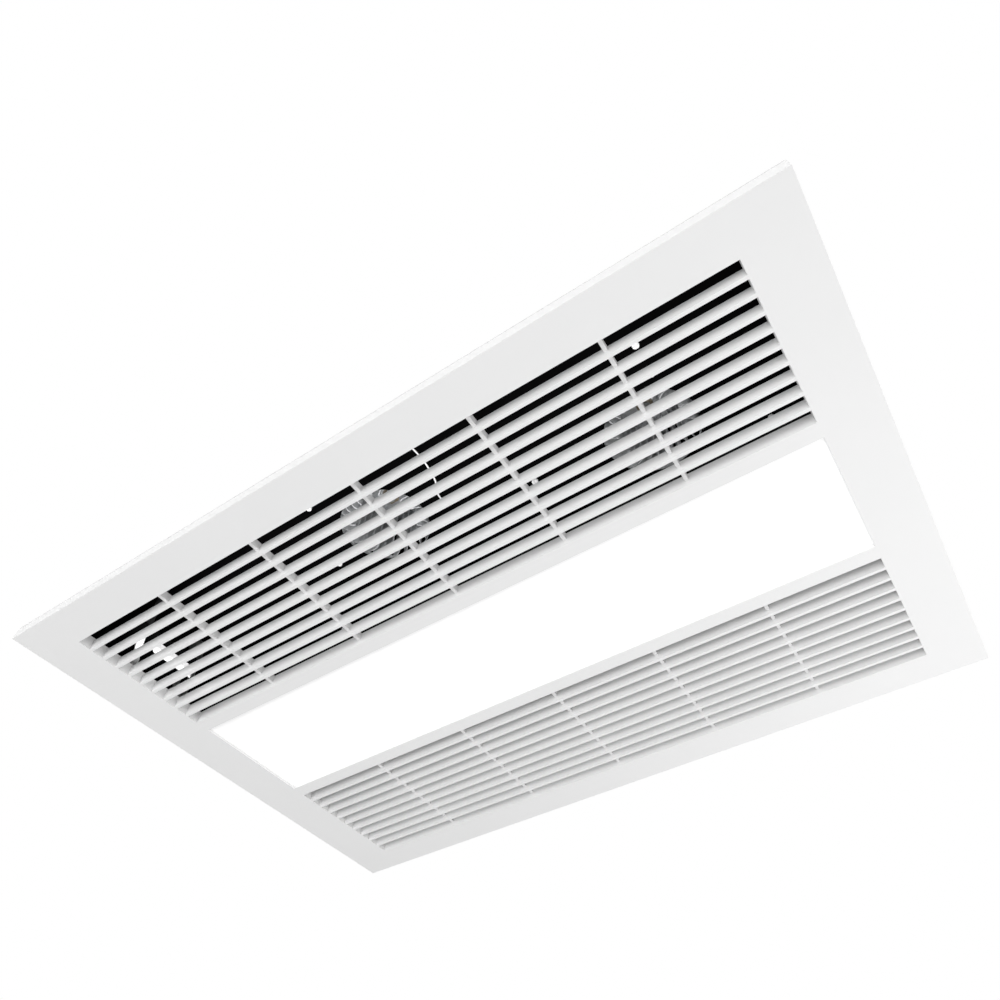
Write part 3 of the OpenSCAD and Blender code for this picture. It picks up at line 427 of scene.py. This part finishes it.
def light_lead_route():
    """Out of the wall, round along it, then up into the sleeve."""
    def turned(angle):
        side = LEAD_TURN_RADIUS * (math.cos(angle) - 1)
        return LEAD_FROM + Vector((LEAD_STUB + LEAD_TURN_RADIUS * math.sin(angle), side, 0))

    def risen(angle):
        along = LEAD_RUN + LEAD_RISE_RADIUS * math.sin(angle)
        up = LEAD_RISE_RADIUS * (1 - math.cos(angle))
        return turned(LEAD_TURN) + way * along + Vector((0, 0, up))

    way = Vector((math.cos(LEAD_TURN), -math.sin(LEAD_TURN), 0))
    route = [LEAD_FROM]
    route += [turned(LEAD_TURN * i / TURN_STEPS) for i in range(TURN_STEPS + 1)]
    route += [risen(math.pi / 2 * i / RISE_STEPS) for i in range(RISE_STEPS + 1)]
    return route + [route[-1] + Vector((0, 0, LEAD_STUB))]


SENSOR_LEAD_PATH_MM = (
    (10, -138.8), (10.2, -135.4), (10.5, -131.9), (10.6, -128.4), (10.5, -125), (10.4, -121.5),
    (10.1, -118.1), (9.6, -114.6), (9, -111.1), (8.2, -107.5), (7.2, -103.9), (5.8, -100.5),
    (4, -97.4), (2.2, -94.5), (1.2, -91.5), (1, -88.2),
)


def sensor_lead_route():
    """Under the deck, from clip to clip."""
    return [Vector((x, y, SENSOR_LEAD_Z_MM)) * MM for x, y in SENSOR_LEAD_PATH_MM]


def make_lead(name, points, diameter_mm, material):
    curve = bpy.data.curves.new(name, "CURVE")
    curve.dimensions = "3D"
    curve.bevel_depth = diameter_mm * MM / 2
    curve.bevel_resolution = 5
    curve.use_fill_caps = True
    spline = curve.splines.new("POLY")
    spline.points.add(len(points) - 1)
    for target, point in zip(spline.points, points):
        target.co = (*point, 1.0)
    curve.materials.append(material)
    lead = bpy.data.objects.new(name + "_sheath", curve)
    bpy.context.scene.collection.objects.link(lead)
    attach(lead, "housing")
    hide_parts(name)


# Stage: a white ceiling round the unit, a pale floor and soft studio light

FLOOR_Z = -3.0
FLOOR_REACH = 8
STAGE_PALE = 0.8
WORLD_STRENGTH = 0.53
CEILING_REACH = 0.75
CEILING_Z = 0.3 * MM
CUT_LAP = 2 * MM


def white_when_seen(tree, plain, white):
    """plain for most light, and white for camera and transmission rays."""
    path = tree.nodes.new("ShaderNodeLightPath")
    seen = tree.nodes.new("ShaderNodeMath")
    seen.operation = "MAXIMUM"
    tree.links.new(path.outputs["Is Camera Ray"], seen.inputs[0])
    tree.links.new(path.outputs["Is Transmission Ray"], seen.inputs[1])
    mix = tree.nodes.new("ShaderNodeMixShader")
    tree.links.new(seen.outputs[0], mix.inputs[0])
    tree.links.new(plain.outputs[0], mix.inputs[1])
    tree.links.new(white.outputs[0], mix.inputs[2])
    return mix


def lit_white(name, one_sided):
    """White where it is seen and pale to other light. One-sided is clear from the back."""
    material = bpy.data.materials.new(name)
    material.use_nodes = True
    tree = material.node_tree
    tree.nodes.clear()
    out = tree.nodes.new("ShaderNodeOutputMaterial")
    pale = tree.nodes.new("ShaderNodeBsdfDiffuse")
    pale.inputs["Color"].default_value = (STAGE_PALE, STAGE_PALE, STAGE_PALE, 1.0)
    mix = white_when_seen(tree, pale, tree.nodes.new("ShaderNodeEmission"))
    if one_sided:
        side = tree.nodes.new("ShaderNodeNewGeometry")
        both = tree.nodes.new("ShaderNodeMixShader")
        clear = tree.nodes.new("ShaderNodeBsdfTransparent")
        tree.links.new(side.outputs["Backfacing"], both.inputs[0])
        tree.links.new(mix.outputs[0], both.inputs[1])
        tree.links.new(clear.outputs[0], both.inputs[2])
        mix = both
    tree.links.new(mix.outputs[0], out.inputs["Surface"])
    return material


def make_plane(name, rings, faces, material):
    mesh = bpy.data.meshes.new(name)
    mesh.from_pydata(rings, [], faces)
    mesh.materials.append(material)
    plane = bpy.data.objects.new(name, mesh)
    bpy.context.scene.collection.objects.link(plane)


def corners(half_x, half_y, z):
    return [(-half_x, -half_y, z), (half_x, -half_y, z), (half_x, half_y, z), (-half_x, half_y, z)]


def make_ceiling():
    """A board that shows from below only, cut out so that light reaches the fascia's back."""
    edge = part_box("fascia")[1]
    outer = corners(CEILING_REACH, CEILING_REACH, CEILING_Z)
    hole = corners(edge.x - CUT_LAP, edge.y - CUT_LAP, CEILING_Z)
    faces = [(i, i + 4, (i + 1) % 4 + 4, (i + 1) % 4) for i in range(4)]
    make_plane("ceiling", outer + hole, faces, lit_white("ceiling", True))


def make_floor():
    floor = corners(FLOOR_REACH, FLOOR_REACH, FLOOR_Z)
    make_plane("floor", floor, [(0, 1, 2, 3)], lit_white("floor", False))


def area_light(name, at, aim, width, height, power):
    data = bpy.data.lights.new(name, "AREA")
    data.shape = "RECTANGLE"
    data.size, data.size_y = width, height
    data.energy = power
    lamp = bpy.data.objects.new(name, data)
    lamp.location = at
    lamp.rotation_mode = "QUATERNION"
    lamp.rotation_quaternion = (Vector(aim) - Vector(at)).to_track_quat("-Z", "Y")
    lamp.visible_camera = False
    bpy.context.scene.collection.objects.link(lamp)


def make_world():
    world = bpy.data.worlds.new("world")
    bpy.context.scene.world = world
    world.use_nodes = True
    tree = world.node_tree
    tree.nodes.clear()
    out = tree.nodes.new("ShaderNodeOutputWorld")
    soft = tree.nodes.new("ShaderNodeBackground")
    soft.inputs["Color"].default_value = (1.0, 1.0, 1.0, 1.0)
    soft.inputs["Strength"].default_value = WORLD_STRENGTH
    white = tree.nodes.new("ShaderNodeBackground")
    white.inputs["Color"].default_value = (1.0, 1.0, 1.0, 1.0)
    mix = white_when_seen(tree, soft, white)
    tree.links.new(mix.outputs[0], out.inputs["Surface"])


# Each lamp: its name, place, aim, width, height and watts

LAMPS = (
    ("window_light", (0.2, -2.2, -1.2), (0.2, 0, -1.2), 3.0, 1.4, 42.2),
    ("corner_light", (1.0, 0.7, -0.8), (0.2, 0.15, 0), 1.5, 1.5, 6.4),
    ("left_light", (-1.3, -1.0, -0.8), (0, 0, 0), 1.3, 1.1, 2.4),
    ("far_light", (0.28, 0.26, -0.30), (0.12, 0.17, 0), 0.5, 0.25, 0.23),
    ("loft_light", (-0.9, -1.2, 1.6), (0, 0, 0.1), 1.2, 1.2, 22),
)

# Each lamp in a grille: its name, side, way it shines and watts. They stand just above the slats

GRILLE_LAMPS = (
    ("near_up_light", -1, 0.1, 0.27),
    ("near_down_light", -1, -0.1, 0.059),
    ("far_down_light", 1, -0.1, 0.0244),
)
GRILLE_Y = 116.5 * MM
GRILLE_LAMP_Z = 9.5 * MM
GRILLE_LAMP_SIZE = (0.49, 0.105)


def make_lights():
    make_world()
    for lamp in LAMPS:
        area_light(*lamp)
    for name, side, way, power in GRILLE_LAMPS:
        middle = Vector((0, side * GRILLE_Y, GRILLE_LAMP_Z))
        area_light(name, middle, middle + Vector((0, 0, way)), *GRILLE_LAMP_SIZE, power)


make_camera()
materials = dress_nodes()
make_lead("light_lead", light_lead_route(), LIGHT_LEAD_MM, materials["lead_white"])
make_lead("sensor_lead", sensor_lead_route(), SENSOR_LEAD_MM, materials["lead_white"])
make_ceiling()
make_floor()
make_lights()
bpy.context.scene.view_settings.view_transform = "Standard"
